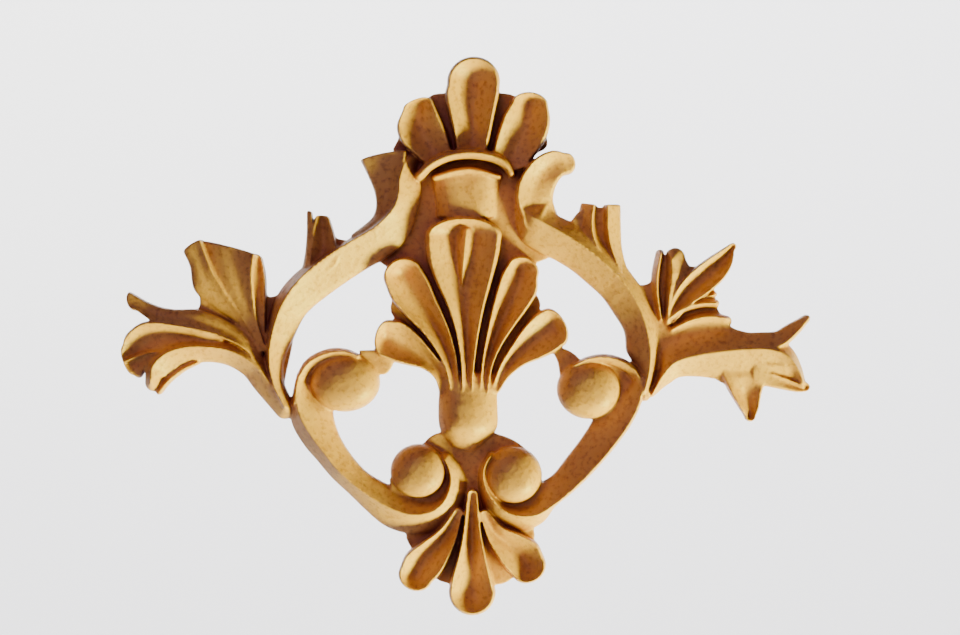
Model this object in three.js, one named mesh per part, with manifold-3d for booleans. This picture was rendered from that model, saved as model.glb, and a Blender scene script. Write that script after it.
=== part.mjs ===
// Wood pulp applique: a moulded ornament with a flat back, carved leaves, bands, volutes and palmettes.
// Millimetres, +Z up, front towards -Y, flat back on the plane y = 0.
import * as THREE from 'three';
import * as BufferGeometryUtils from 'three/addons/utils/BufferGeometryUtils.js';
import Module from 'manifold-3d';

// Overall size
const width = 220;
const height = 178;
const depth = 13.5;

// Relief heights over the back, as drawn: the finished solid is brought to the overall size
const groundTop = 4;
const leafGroundTop = 6.5;
const bandTop = 12;
const scrollTop = 11;
const eyeTop = 13;
const beadTop = 13.5;
const petalTop = 12;
const leafTop = 11;
const tuftTop = 10;
const lowEdge = 5.5;

const wasm = await Module();
wasm.setup();

// Curve through key rows, each row holding x, z and any widths that change with it
function smoothRows(rows, steps) {
  const last = rows.length - 1;
  const before = rows[0].map((value, i) => 2 * value - rows[1][i]);
  const after = rows[last].map((value, i) => 2 * value - rows[last - 1][i]);
  const padded = [before, ...rows, after];
  const result = [];
  for (let i = 0; i <= steps; i += 1) {
    const place = (i / steps) * last;
    const start = Math.min(Math.floor(place), last - 1);
    const t = place - start;
    const [a, b, c, d] = padded.slice(start, start + 4);
    result.push(b.map((value, k) => 0.5 * (2 * value + (c[k] - a[k]) * t
      + (2 * a[k] - 5 * value + 4 * c[k] - d[k]) * t ** 2
      + (3 * value - a[k] - 3 * c[k] + d[k]) * t ** 3)));
  }
  return result;
}

// Closed body from a stack of loops that all have the same number of points
function bodyFromLoops(loops) {
  const positions = [];
  const count = loops[0].length;
  const corner = (point) => positions.push(point.x, -point.h, point.z);
  const same = (p, q) => Math.hypot(p.x - q.x, p.z - q.z, p.h - q.h) < 0.002;
  const triangle = (a, b, c) => {
    if (!same(a, b) && !same(b, c) && !same(c, a)) {
      [a, b, c].forEach(corner);
    }
  };
  for (let j = 0; j + 1 < loops.length; j += 1) {
    for (let i = 0; i < count; i += 1) {
      const next = (i + 1) % count;
      triangle(loops[j][i], loops[j + 1][i], loops[j][next]);
      triangle(loops[j][next], loops[j + 1][i], loops[j + 1][next]);
    }
  }
  const geometry = new THREE.BufferGeometry();
  geometry.setAttribute('position', new THREE.Float32BufferAttribute(positions, 3));
  return BufferGeometryUtils.mergeVertices(geometry, 0.002);
}

// Loop around a spine: left border forwards, round the tip, right border backwards, round the foot
function outlineOf(stations, capSteps, tip) {
  const n = stations.length;
  const direction = stations.map((row, i) => {
    const a = stations[Math.max(0, i - 1)];
    const b = stations[Math.min(n - 1, i + 1)];
    const length = Math.hypot(b[0] - a[0], b[1] - a[1]);
    return [(b[0] - a[0]) / length, (b[1] - a[1]) / length];
  });
  const place = (i, across, forward, reach) => {
    const [x, z] = stations[i];
    const [dx, dz] = direction[i];
    const along = forward * tip;
    const [sideX, sideZ] = [along * dx - across * dz, along * dz + across * dx];
    return { i, across, midX: x, midZ: z, x: x + reach * sideX, z: z + reach * sideZ };
  };
  const side = (hand, column) => {
    const border = [];
    for (let i = 0; i < n; i += 1) {
      const point = place(i, hand, 0, Math.max(0.3, stations[i][column]));
      const previous = border[i - 1];
      const [dx, dz] = direction[i];
      const behind = previous && (point.x - previous.x) * dx + (point.z - previous.z) * dz < 0.05;
      border.push(behind ? { ...point, x: previous.x, z: previous.z } : point);
    }
    return border;
  };
  const cap = (i, forward) => {
    const points = [];
    const [from, to] = forward > 0 ? [2, 3] : [3, 2];
    for (let k = 1; k < capSteps; k += 1) {
      const turn = (Math.PI * k) / capSteps;
      const share = 0.5 - 0.5 * Math.cos(turn);
      const reach = Math.max(0.3, stations[i][from] * (1 - share) + stations[i][to] * share);
      points.push(place(i, forward * Math.cos(turn), forward * Math.sin(turn), reach));
    }
    return points;
  };
  const left = side(1, 2);
  const right = side(-1, 3).reverse();
  return [...left, ...(capSteps ? cap(n - 1, 1) : []), ...right, ...(capSteps ? cap(0, -1) : [])];
}

// Loop between two borders, with half ellipses at tip and foot: rows begin with a left and a right point
function outlineBetween(stations, tip) {
  const last = stations.length - 1;
  const around = (i, turn) => {
    const [leftX, leftZ, rightX, rightZ] = stations[i];
    const [midX, midZ] = [(leftX + rightX) / 2, (leftZ + rightZ) / 2];
    const [sideX, sideZ] = [leftX - midX, leftZ - midZ];
    const [across, along] = [Math.cos(turn), tip * Math.sin(turn)];
    const [x, z] = [midX + across * sideX + along * sideZ, midZ + across * sideZ - along * sideX];
    return { i, across, midX, midZ, x, z };
  };
  const left = stations.map((row, i) => around(i, 0));
  const right = stations.map((row, i) => around(i, Math.PI)).reverse();
  const head = [1, 2, 3, 4].map((k) => around(last, (Math.PI * k) / 5));
  const foot = [1, 2].map((k) => around(0, Math.PI + (Math.PI * k) / 3));
  return [...left, ...head, ...right, ...foot];
}

// Body over an outline: the profile gives the height at each share of the way from spine to border
function stroke(stations, outline, shares, profile) {
  const level = (share, heightAt) => outline.map((point) => ({
    x: point.midX + (point.x - point.midX) * share,
    z: point.midZ + (point.z - point.midZ) * share,
    h: heightAt(point, share),
  }));
  const flat = () => 0;
  const carved = (point, share) => Math.max(1, profile(stations[point.i], point.across, share));
  const top = shares.map((share) => level(share, carved));
  return bodyFromLoops([level(0, flat), level(1, flat), ...top]);
}

// Blade: rows are x, z, left and right half-width, with an optional rise; straight faces from a ridge
function ridge(rows, top, left, right, round = true, tip = 1) {
  const full = rows.map((row) => [row[0], row[1], row[2], row[3], row[4] ?? 0]);
  const widest = Math.max(...full.map((row) => row[2] + row[3]));
  const stations = smoothRows(full, Math.ceil((rows.length - 1) * 1.2));
  const capSteps = widest > 5 ? 4 : 3;
  return stroke(stations, outlineOf(stations, round ? capSteps : 0, tip), [1, 0], (row, across, share) => {
    const edge = right + (left - right) * (0.5 + 0.5 * across);
    return top + row[4] - (top + row[4] * 0.5 - edge) * share;
  });
}

// Cushion: rows are x, z, left and right half-width and height on the spine, rounded down to the border
function cushion(rows, edge, power, round = true, tip = 1) {
  const stations = smoothRows(rows, Math.ceil((rows.length - 1) * 1.4));
  const outline = outlineOf(stations, round ? 4 : 0, tip);
  return stroke(stations, outline, [1, 0.85, 0.55, 0], (row, across, share) => (
    row[4] - (row[4] - edge) * share ** power));
}

// Trough: rows are left and right border point, height of the left rim, of the hollow and of the right rim
function trough(rows, tip = 1) {
  const crest = 0.9;
  const fall = 2.5;
  const full = rows.map((row) => [...row.slice(0, 6), row[6] ?? row[4]]);
  const stations = smoothRows(full, Math.ceil((rows.length - 1) * 1.2));
  return stroke(stations, outlineBetween(stations, tip), [1, crest, 0.45, 0], (row, across, share) => {
    const rim = row[6] + (row[4] - row[6]) * (0.5 + 0.5 * across);
    return share > crest ? rim - fall : row[5] + (rim - row[5]) * (share / crest) ** 1.5;
  });
}

// Dome: an eye of a volute, its highest point towards the lower right
function dome(x, z, halfWidth, halfHeight, top, edge) {
  const count = 18;
  const lean = 0.3;
  const loop = (share, rise, h) => Array.from({ length: count }, (_, i) => {
    const turn = (-2 * Math.PI * i) / count;
    return {
      x: x + halfWidth * (share * Math.cos(turn) + lean * rise),
      z: z + halfHeight * (share * Math.sin(turn) - lean * rise),
      h,
    };
  });
  const rings = [0, 0.3, 0.65, 1].map((k) => {
    const turn = (k * Math.PI) / 2;
    return loop(Math.cos(turn), 1 - Math.cos(turn), edge + (top - edge) * Math.sin(turn));
  });
  return bodyFromLoops([loop(0, 0, 0), loop(1, 0, 0), ...rings]);
}

// Plate: a flat piece of ground inside a smooth outline
function plate(corners, top) {
  const rows = smoothRows([...corners, corners[0]], corners.length).slice(0, -1);
  const shape = new THREE.Shape(rows.map(([x, z]) => new THREE.Vector2(x, z)));
  const geometry = new THREE.ExtrudeGeometry(shape, { depth: top, bevelEnabled: false });
  geometry.rotateX(Math.PI / 2);
  geometry.deleteAttribute('normal');
  geometry.deleteAttribute('uv');
  return BufferGeometryUtils.mergeVertices(geometry, 0.002);
}

function upperBands() {
  return [
    ridge([[-19.6, 56.5, 3, 2.4, -3], [-21.4, 53.6, 4.4, 2.4, -1], [-22.6, 50, 6.4, 2],
      [-22.8, 46.5, 7, 2], [-23.8, 42, 7.2, 2], [-26.5, 38, 9, 2], [-31, 34, 10, 2],
      [-38, 30, 10, 1.2], [-46, 25, 10.1, 1], [-54, 18.5, 9.6, 2.5], [-60, 10.5, 8, 3],
      [-63.5, 1, 6.8, 2], [-64.6, -8, 4.8, 1.6], [-63, -16, 3, 1.6], [-59.5, -23, 2.5, 2]],
      bandTop, 6.5, lowEdge),
    trough([[-38.6, 31.8, -35, 31, 7.5, 9.5, 11], [-35, 34.6, -30, 33.8, 6, 9, 11.5],
      [-31.6, 37.6, -26, 37.2, 6, 8.4, 11.5], [-30.4, 41.4, -23.4, 41.4, 6, 8, 11.5],
      [-31, 46, -22.2, 46, 6, 7.6, 11.5], [-32.8, 50.4, -21.6, 51, 6.5, 7.6, 11],
      [-35.4, 55.8, -20, 58.6, 7, 8, 9.5]], 0.12),
    ridge([[16.4, 45, 8, 0.8, -4], [17.5, 40, 9.5, 3, -2], [21, 37, 7, 8], [26, 34.5, 4.4, 9],
      [32, 31, 5, 8.4], [38, 27, 5, 8.2], [44, 22, 5, 8.2], [49, 17, 4, 8], [53.5, 10.5, 4, 8],
      [56.5, 3, 4, 7], [58, -5, 3, 7.4], [57.5, -12, 3, 4], [56, -18, 3, 3]], bandTop, 6.5, 6, false),
    trough([[16.6, 37.4, 29.6, 35.4, 9.5, 7.2, 5.5], [15, 42.6, 27, 42, 11.5, 8.4, 7],
      [15.4, 48, 27.2, 46, 12, 8.4, 8.5], [17.8, 52.8, 28.6, 49.2, 12, 8.4, 9.5],
      [21.8, 56.8, 30, 50.8, 12, 8.6, 9.5], [26.6, 58.8, 31.2, 51.2, 11.5, 9, 9.5],
      [30.6, 58, 32, 51.4, 11, 9, 9]], 0.8),
  ];
}

function lowerScrolls() {
  return [
    ridge([[-55, -13, 2, 1], [-56, -19.5, 6, 1.4], [-54.4, -26.5, 10.6, 3.6], [-50.4, -33, 8.2, 4],
      [-46.6, -38, 6.6, 3.6], [-42.5, -43, 6, 3.5], [-37, -48, 5.4, 3.6], [-31, -52.2, 5.8, 4.8],
      [-25, -55.5, 6.4, 6.2], [-19, -57.3, 6, 6.4], [-13, -56.6, 4, 6.4], [-8.8, -53.6, 2.4, 6],
      [-6.6, -49, 1.2, 5.4], [-6.4, -44, 1, 4], [-8.2, -39.6, 1.2, 2.4]], scrollTop, lowEdge, 5),
    ridge([[55.6, -13, 1.6, 2], [54.8, -21, 0.8, 9], [51.6, -28, 0.8, 11.2], [47, -34.5, 0.8, 10],
      [42, -40.5, 0.8, 9.2], [37, -45.8, 0.8, 8.6], [32, -50.4, 0.8, 7.6], [27, -54.3, 0.9, 7.8],
      [22, -57.2, 3.4, 5], [16.5, -57.8, 5, 3.4], [11.5, -56.4, 5, 2.6], [8, -53.4, 4, 2],
      [5, -48.6, 2.2, 1.4], [4.4, -43, 1.2, 1.4], [6.6, -38.4, 0.9, 1.2]], scrollTop, 5, lowEdge),
    ridge([[-56.6, -22, 0.8, 1.6], [-55.2, -14, 0.9, 2], [-51.5, -8.6, 1.4, 2.4],
      [-45.5, -5.8, 1.4, 2.2], [-40, -5.5, 1, 1.6], [-36, -6.8, 0.6, 1]], scrollTop, 8, 8),
    ridge([[56.3, -20, 1, 1.5], [54, -13, 2, 1.4], [50, -9.2, 2.2, 1.2], [44.5, -7.2, 2.2, 1],
      [38.5, -7.6, 1.8, 0.8], [33.5, -9.8, 1, 0.6]], scrollTop, 8, 8),
    dome(-40.4, -15.2, 11.3, 9.4, eyeTop, 6),
    dome(-16.6, -43.6, 9.1, 8.6, eyeTop, 6),
    dome(38.2, -17.4, 10.2, 9.5, eyeTop, 6),
    dome(13.9, -44.9, 9.3, 9.1, eyeTop, 6),
  ];
}

function centrePalmette() {
  return [
    trough([[-2.6, -21, 0.7, -21, 8, 7], [-2.9, -10, 1.4, -10, 10.5, 7.5], [-4.5, 0, 2.8, 0, 11.5, 7],
      [-7.2, 8.5, 4.7, 9, petalTop, 6.5], [-10.7, 16, 7, 17, petalTop, 6],
      [-13.5, 23.4, 9, 24.4, petalTop, 6], [-14.4, 31.4, 10.2, 31.8, petalTop, 6]], 0.48),
    ridge([[-2.6, 13, 1, 1, -5.4], [-2.4, 19, 2.2, 2.6, -2.4], [-1.8, 26, 3, 3.8, -0.4],
      [-1.2, 33.6, 3, 4]], 11.4, 6, 6, true, 0.6),
    trough([[-6, -21, -3.3, -21, 7.5, 6.5], [-7.8, -11.4, -3.9, -9.6, 9.5, 6.5],
      [-11.2, -4.8, -5.6, -1.4, 10.5, 6], [-15.8, 1.2, -8, 5.2, 11, 5.5],
      [-20.8, 6, -10.9, 11.6, 11, 5.5], [-25, 10.8, -13.2, 17.2, 11, 5.5],
      [-27.5, 16.6, -16, 21.6, 11, 5.5]], 0.85),
    trough([[2.9, -21, 5.6, -21, 7.5, 6.5], [3.7, -9.6, 7, -11, 9.5, 6.5],
      [5, -1.4, 10, -3.8, 10.5, 6], [6.6, 6.6, 14.2, 2.6, 11, 5.5], [8.3, 13.6, 18.4, 8.2, 11, 5.5],
      [10, 19, 21.5, 13.4, 11, 5.5], [12, 22.4, 21.8, 18, 11, 5.5]], 0.9),
    trough([[-9.8, -19, -7, -17, 6.5, 6], [-11.4, -14, -8.4, -10.4, 8, 6],
      [-15.2, -11, -12.2, -5.2, 9, 5.5], [-20, -9.8, -16.8, 0.2, 9.5, 5],
      [-24.8, -8.6, -21.6, 4.2, 9.5, 5], [-28.2, -7.2, -26, 4.8, 9.5, 5]], 0.6),
    trough([[7.2, -16, 9.4, -18.4, 6.5, 6], [9.4, -10, 12.4, -13.8, 8, 6],
      [12.8, -4.2, 17, -10, 9, 5.5], [16.6, 1.6, 22.4, -7.8, 9.5, 5], [20.4, 6, 27.2, -5.6, 9.5, 5],
      [23.8, 8.2, 30.2, -3.4, 9.5, 5]], 0.6),
    cushion([[-1.6, -12, 9.4, 7.8, 7], [-1.6, -18, 10.2, 8.4, 8.6], [-1.7, -24, 10.6, 8.6, 10.4],
      [-1.8, -29.5, 10.4, 8.2, 11], [-2.2, -33.4, 6.6, 6.4, 8.5], [-3, -36.4, 3, 3, 6]], 5, 2.6, false),
  ];
}

function cupAndBead() {
  return [
    cushion([[-1.2, 50.6, 11.4, 11.2, 8.4], [-1.2, 46.5, 10.2, 10.4, 8.8], [-1.2, 42, 9.4, 9.6, 9.2],
      [-1.2, 38, 9.2, 9.4, 9.2]], 5, 4, true, 0.15),
    cushion([[-11.4, 50.2, 0.9, 0.9, 9.6], [-5, 52, 1.1, 1.1, 10.4], [1, 52.5, 1.1, 1.1, 10.4],
      [9.4, 50.4, 0.9, 0.9, 9.6]], 7.5, 2),
    cushion([[-16.4, 50.6, 1.4, 1.4, 12], [-12.6, 54.2, 1.7, 1.7, 12.5], [-7, 56.8, 1.7, 1.7, 13],
      [0, 57.8, 1.7, 1.7, beadTop], [7, 56.8, 1.7, 1.7, 13], [11, 54.6, 1.6, 1.6, 12.5],
      [13.4, 51.4, 1.2, 1.2, 12]], 8, 2),
  ];
}

function endPalmettes() {
  return [
    trough([[-4.8, 61.4, 6, 61.4, 10, 7], [-5.4, 65, 6.8, 65, 11.4, 6.4],
      [-6.6, 70, 7.8, 70, petalTop, 6], [-8, 76.2, 9.2, 76.6, petalTop, 6],
      [-7.4, 79.8, 9.7, 81.4, 11.5, 6]], 0.95),
    trough([[-16.6, 56.4, -5.6, 58.4, 8.5, 7], [-22, 61.4, -7.4, 64.4, 10, 6],
      [-23.6, 66.6, -10.2, 70.6, 10.5, 5.5], [-21.6, 71.8, -12.2, 75, 10, 5.5]], 0.4),
    trough([[7, 58, 19.6, 55.6, 8.5, 7], [8.6, 64, 24, 61.6, 10, 6], [10.8, 70, 25.8, 67.6, 11, 5.5],
      [13.2, 73.8, 25.2, 73, 10.5, 5.5]], 0.68),
    trough([[2.4, -51, -1, -51, 9.5, 8], [3.4, -62, -2.2, -62, 11, 7],
      [5, -70, -3.8, -70, petalTop, 6], [6.8, -77, -5.9, -77, 11.5, 5.5],
      [8.3, -82, -6.9, -82, 10, 5]]),
    trough([[-2.6, -58, -4.8, -55.4, 9, 8], [-4.2, -65, -9.4, -61.6, 10.5, 6.5],
      [-6.6, -70.8, -15, -65.8, 11, 5.5], [-9, -75.6, -20.4, -69.8, 10.5, 5],
      [-12.4, -79.2, -22.8, -74.8, 9.5, 5]], 0.85),
    trough([[5.6, -56, 3.4, -58.6, 9, 8], [10.2, -61, 5.8, -65.6, 10.5, 6.5],
      [16, -63.4, 8.4, -70.2, 11, 5.5], [21.4, -66.4, 10.8, -74, 10.5, 5],
      [24, -71.4, 13.6, -77, 9.5, 5]], 0.85),
  ];
}

function leftLeaf() {
  return [
    ridge([[-59, -23, 4.4, 2], [-65, -14.5, 5.4, 2], [-70, -9, 5, 3], [-77, -5.2, 4.8, 3],
      [-85, -3.8, 5, 2.4], [-92, -4, 6.5, 2], [-98, -6, 8.2, 2], [-102, -10, 7, 2.2],
      [-102.6, -15.3, 3.2, 2.2]], leafTop, lowEdge, 7),
    ridge([[-88, -9, 0.6, 1], [-93, -11.3, 0.8, 1.2], [-97.5, -15, 0.8, 1.2], [-100.3, -18.4, 0.8, 1]],
      8, 7, 6),
    trough([[-66, -13, -65.4, -10, 8, 7, 7], [-72, -5.2, -70, -1, 10.5, 8, 6],
      [-79, -1.4, -77.4, 4.4, 11, 8, 5.5], [-87, 1.2, -86.6, 8, 11.5, 8.4, 6.5],
      [-95, 2.6, -96, 8.2, 11.5, 8.4, 7.2], [-101.6, 4, -102.6, 9.8, 11, 8, 7],
      [-107.6, 7.8, -110, 13.8, 9.5, 7.5, 7]], 0.6),
    trough([[-80, -3, -79.6, -1.6, 8.5, 8.4, 8.6], [-85.6, -4.6, -85, 0.8, 9, 8.6, 11],
      [-91, -4.6, -91, 2.6, 9, 7.4, 11.5], [-98.6, -6, -98.6, 4, 8.5, 6.2, 11.5],
      [-104, -9.8, -105.4, 4, 7.5, 5.6, 11], [-106.4, -13.8, -110.6, 0.4, 7, 5.2, 9.5],
      [-109, -12.8, -112.2, -3.6, 7, 5.5, 8]], 0.3),
    ridge([[-98, -5.2, 0.8, 0.8], [-104.4, -6, 1, 1], [-111, -8.4, 0.9, 0.9]], 8.5, 5.5, 6),
    trough([[-68, -6, -66.6, -5, 6, 6.6, 7.4], [-75.6, 3.6, -72.4, 4.4, 5.2, 6.4, 7.6],
      [-83, 8.6, -77.6, 12, 4.6, 6, 7.6], [-89.2, 14.2, -82, 19.4, 4.6, 5.9, 7.8],
      [-90.6, 21.6, -84.6, 25, 4.6, 5.9, 7.8], [-92.8, 26.6, -86.6, 30.4, 4.6, 5.8, 7.4]], 0.2),
    trough([[-68, -5.4, -65.4, -5, 7, 7.4, 8], [-72.8, 3.6, -68.2, 4, 6.8, 7.8, 9.2],
      [-78, 11.4, -69.2, 12, 6.6, 8.2, 10.6], [-82.6, 19, -69.4, 19.4, 6.2, 8.4, 11.6],
      [-86.6, 30, -68.6, 25.4, 5.4, 8, 11.4]], 0.06),
    trough([[-67.6, -4, -65.6, -5, 7, 6.4, 6.4], [-69.2, 6, -66, 5, 7.6, 7, 7.8],
      [-70, 14, -65.8, 13.4, 8, 7.4, 8.8], [-70, 20.4, -66, 19.2, 8.2, 7.4, 9],
      [-69, 25.8, -67, 24, 8, 7.4, 8.6]], 0.3),
    plate([[-60, -22], [-68, -14], [-76, -9], [-88, -7], [-102, -10], [-109, -8], [-104, 3], [-98, 6],
      [-88, 8], [-88, 16], [-88.4, 24], [-83, 28.4], [-70, 25.6], [-67, 18], [-65, 12], [-57, 14],
      [-57, 0], [-60, -15]], groundTop),
  ];
}

function rightLeaf() {
  return [
    ridge([[58.6, -19, 0.8, 1], [61.6, -13.4, 1.6, 3.6], [66, -8.8, 6.6, 5.2], [73, -6.6, 7.6, 7],
      [81, -5.4, 8, 9.2], [89, -4.6, 5.6, 10.4], [96, -4.6, 4.4, 10.6], [101.6, -6.4, 3.2, 8],
      [105.4, -11, 1.8, 4], [107.2, -15.2, 1, 2]], leafTop, 6, 6.5),
    trough([[95.6, -13.6, 80.8, -13, 8, 7.8], [94, -19, 84.2, -19.2, 8.5, 5.8, 9.5],
      [93.2, -23.4, 87, -23.6, 8, 5.5, 9.5], [92.2, -26, 88.6, -26, 7.5, 5, 8]]),
    trough([[94, -8.4, 95, -16.4, 9, 8.6, 8], [100, -9.4, 101, -17.6, 9.5, 7.6, 8.5],
      [105, -12, 105.6, -18.4, 9, 6.6, 8.5], [108, -15.2, 108.2, -18.2, 8.5, 6.5, 8]]),
    ridge([[97, -12.4, 1.6, 1.6], [103, -14.6, 1.2, 1.2], [107.4, -16.6, 0.6, 0.6]], 9, 6.5, 6.5),
    ridge([[87, -4.4, 5, 1], [94, -4.6, 5.4, 0.8], [100.4, -3.4, 4.8, 0.8], [105.2, 0.6, 3.8, 0.8],
      [108.8, 5, 1.6, 0.8]], 10, 7, 7),
    ridge([[63.6, 4.6, 1, 1], [68, 8, 1.8, 1.6], [74, 9.8, 2, 1.6], [79, 10, 1.4, 1.4]], 10.5, 7, 7),
    ridge([[65, 1.6, 1, 1.6], [71, 4.6, 1.4, 2.6], [77, 5.8, 1.5, 3.4], [82.4, 5.2, 1, 3]], 10, 7, 5.5),
    trough([[64, 5.4, 66.4, 4.4, 9, 8], [65.6, 13, 71, 9.4, 10.5, 7], [69.6, 18.8, 76.4, 13, 11, 6.5],
      [75.4, 23.6, 81.4, 17.4, 10.5, 6], [81, 27.2, 84.4, 22.2, 9, 5.5],
      [84.4, 29.3, 85.4, 27.2, 7, 5]]),
    ridge([[73, 11.4, 1.5, 2], [76.3, 12, 1.5, 1.5], [79, 13, 0.8, 0.8]], 9, 6, 6),
    ridge([[63.4, 4, 1, 1.5], [64, 12, 1.4, 3.4], [64.8, 19, 1.8, 6.4], [64.8, 24.4, 1.6, 4.6]],
      10.5, 6.5, 8),
    ridge([[61.5, 5, 1.2, 1], [60.2, 13, 1.5, 1.3], [60.2, 19, 1.6, 1.4], [61.4, 26, 1.4, 1.2]],
      10, 6, 6.5),
    plate([[58, -20], [64, -14.5], [76, -13], [83, -16], [92, -16], [104, -14], [102, -4], [92, 0],
      [84, 2.6], [80, 8], [78.6, 14], [80, 21], [70, 22], [62, 24.6], [58.6, 17], [53, 14], [56, 0]],
      leafGroundTop),
  ];
}

function tufts() {
  return [
    trough([[-57, 13.6, -52, 18, 6, 8, 11], [-54, 22.6, -51.2, 23, 6, 8, 9.5],
      [-52.9, 31, -50.6, 31, 6, 7.5, 8.5], [-52.7, 39.4, -51, 39, 6.5, 7, 8]], 0.5),
    trough([[-53, 17, -42, 25, 8, 9, 11], [-51.6, 24.6, -43, 28.6, 8.5, 6, 9.5],
      [-50.8, 31.6, -44, 33, 8.5, 5.5, 9.5], [-50, 37.6, -45.4, 37.4, 8.5, 5.5, 9]], 0.3),
    ridge([[45, 22, 3, 3], [40.5, 29.5, 5, 1.6], [39.2, 35.5, 4.5, 1.6], [40, 41.6, 4.2, 0.9]],
      tuftTop, 5, lowEdge, false),
    ridge([[50.4, 16, 2, 1.6], [46, 26, 2, 3.4], [44.4, 33, 1.8, 4.4], [44.2, 41.6, 1.2, 4.4]],
      tuftTop, 5, lowEdge, false),
    plate([[-54, 18], [-52, 27], [-51, 36], [-47, 37], [-44, 31.4], [-38, 29], [-44, 22]], 4.5),
    plate([[31, 34], [36, 40], [44, 40.5], [48, 39], [48.6, 28], [52, 16], [46, 18]], leafGroundTop),
  ];
}

function ground() {
  return [
    plate([[-25, 59.4], [-17, 52], [-20, 38], [-29.4, 25], [-22, 21], [0, 20], [25, 24.4], [20, 34],
      [18, 44], [19, 56], [25, 60.6], [22, 68], [13.4, 77], [0, 76], [-12, 77], [-20, 68]], groundTop),
    plate([[-9, -32], [-6, -45], [-12, -58], [-20.6, -63.4], [-17, -71], [-9.6, -79], [4, -80],
      [12.4, -79], [18, -71], [20.6, -62.4], [10, -56], [6, -45], [8, -32]], groundTop),
    plate([[-26, -46], [-14, -50], [-7, -46], [-8, -53], [-14, -57], [-24, -54]], leafGroundTop),
    plate([[8, -47], [16, -52], [24, -47], [25, -52], [16, -57], [8, -54]], leafGroundTop),
    plate([[-36, -5], [-30, -5], [-25, -6], [-25.4, -10.6], [-29, -12.6]], leafGroundTop),
    plate([[26.4, -4.6], [31.4, -4.8], [36, -9], [34, -15], [29.6, -14], [28.4, -9]], leafGroundTop),
    plate([[-9, -20], [-10, -10], [-18, 0], [-25.6, 7.2], [-22, 16], [-8, 30], [6, 30], [16, 18],
      [22.8, 9.8], [17, -1], [9, -11], [8, -20]], groundTop),
    plate([[-17.6, -38], [-11.4, -31.8], [0, -31], [8, -31.6], [15.4, -34.6], [18.6, -39], [12, -46],
      [0, -50], [-14, -46]], groundTop),
    plate([[-54, -9], [-46, -7], [-46, -20], [-54, -22]], leafGroundTop),
    plate([[45, -9.6], [52, -11], [54, -22], [44, -22]], leafGroundTop),
  ];
}

// Union of all the carved bodies into one solid
function unite(geometries) {
  const solids = geometries.map((geometry) => {
    const mesh = new wasm.Mesh({
      numProp: 3,
      vertProperties: new Float32Array(geometry.attributes.position.array),
      triVerts: new Uint32Array(geometry.index.array),
    });
    return new wasm.Manifold(mesh);
  });
  return solids.reduce((whole, solid) => whole.add(solid));
}

function toGeometry(solid) {
  const mesh = solid.getMesh();
  const geometry = new THREE.BufferGeometry();
  geometry.setAttribute('position', new THREE.BufferAttribute(new Float32Array(mesh.vertProperties), 3));
  geometry.setIndex(new THREE.BufferAttribute(new Uint32Array(mesh.triVerts), 1));
  geometry.computeVertexNormals();
  return geometry;
}

const woodPulp = new THREE.MeshStandardMaterial({ color: 0xd2a463, roughness: 0.75, metalness: 0 });
woodPulp.name = 'wood_pulp';

const carved = [
  upperBands, lowerScrolls, centrePalmette, cupAndBead, endPalmettes, leftLeaf, rightLeaf, tufts, ground,
];
const solid = unite(carved.flatMap((make) => make()));
const { min, max } = solid.boundingBox();
const scale = [width / (max[0] - min[0]), depth / (max[1] - min[1]), height / (max[2] - min[2])];
const applique = new THREE.Mesh(toGeometry(solid.scale(scale)), woodPulp);
applique.name = 'applique';

const group = new THREE.Group();
group.name = 'wood_pulp_applique';
group.add(applique);

export default group;
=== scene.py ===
import math

import bmesh
import bpy
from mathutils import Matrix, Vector


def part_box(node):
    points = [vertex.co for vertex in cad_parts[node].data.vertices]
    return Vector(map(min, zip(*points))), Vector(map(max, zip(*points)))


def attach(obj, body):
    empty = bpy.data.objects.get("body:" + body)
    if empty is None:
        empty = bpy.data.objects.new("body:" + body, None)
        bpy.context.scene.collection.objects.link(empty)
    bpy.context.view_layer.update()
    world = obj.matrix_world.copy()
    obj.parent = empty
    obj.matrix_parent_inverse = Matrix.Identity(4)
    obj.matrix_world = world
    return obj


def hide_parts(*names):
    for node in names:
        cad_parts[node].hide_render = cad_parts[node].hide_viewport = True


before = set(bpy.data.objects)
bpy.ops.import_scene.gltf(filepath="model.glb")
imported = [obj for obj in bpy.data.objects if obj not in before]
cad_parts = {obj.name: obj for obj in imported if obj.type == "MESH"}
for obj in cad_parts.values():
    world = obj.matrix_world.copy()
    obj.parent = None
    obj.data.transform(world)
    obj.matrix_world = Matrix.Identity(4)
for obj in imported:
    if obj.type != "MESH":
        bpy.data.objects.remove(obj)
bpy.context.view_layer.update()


# Height of each kind of carving over the flat back, in millimetres as drawn. Rows of numbers below are
# drawn the same way, x to the right and z up from the mount, and the finished casting is brought to
# the size of the frame's node
relief = {
    "ground": 4,
    "leafGround": 6.5,
    "band": 12,
    "scroll": 11,
    "eye": 13,
    "eyeEdge": 6,
    "bead": 13.5,
    "petal": 12,
    "leaf": 11,
    "tuft": 10,
    "lowEdge": 5.5,
}

casting = {
    "stepLength": 1.1,   # mm between two rings of points along a stroke
    "capSteps": 14,      # points round a tip or a foot
    "plateSteps": 4,     # points between two corners of a plate
    "leastReach": 0.3,   # mm, the narrowest half-width of a stroke
    "eyeSides": 64,
    "eyeRings": 9,
    "voxel": 0.36,       # mm, fineness of the joined casting
    "softening": 5,      # rounds of smoothing, as pressed pulp has no sharp edge
    "triangles": 190000,
    "inset": 0.00002,    # m, so that the skin never stands outside the solid's own box
}

carving = bmesh.new()  # every carved body, one after another


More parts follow.
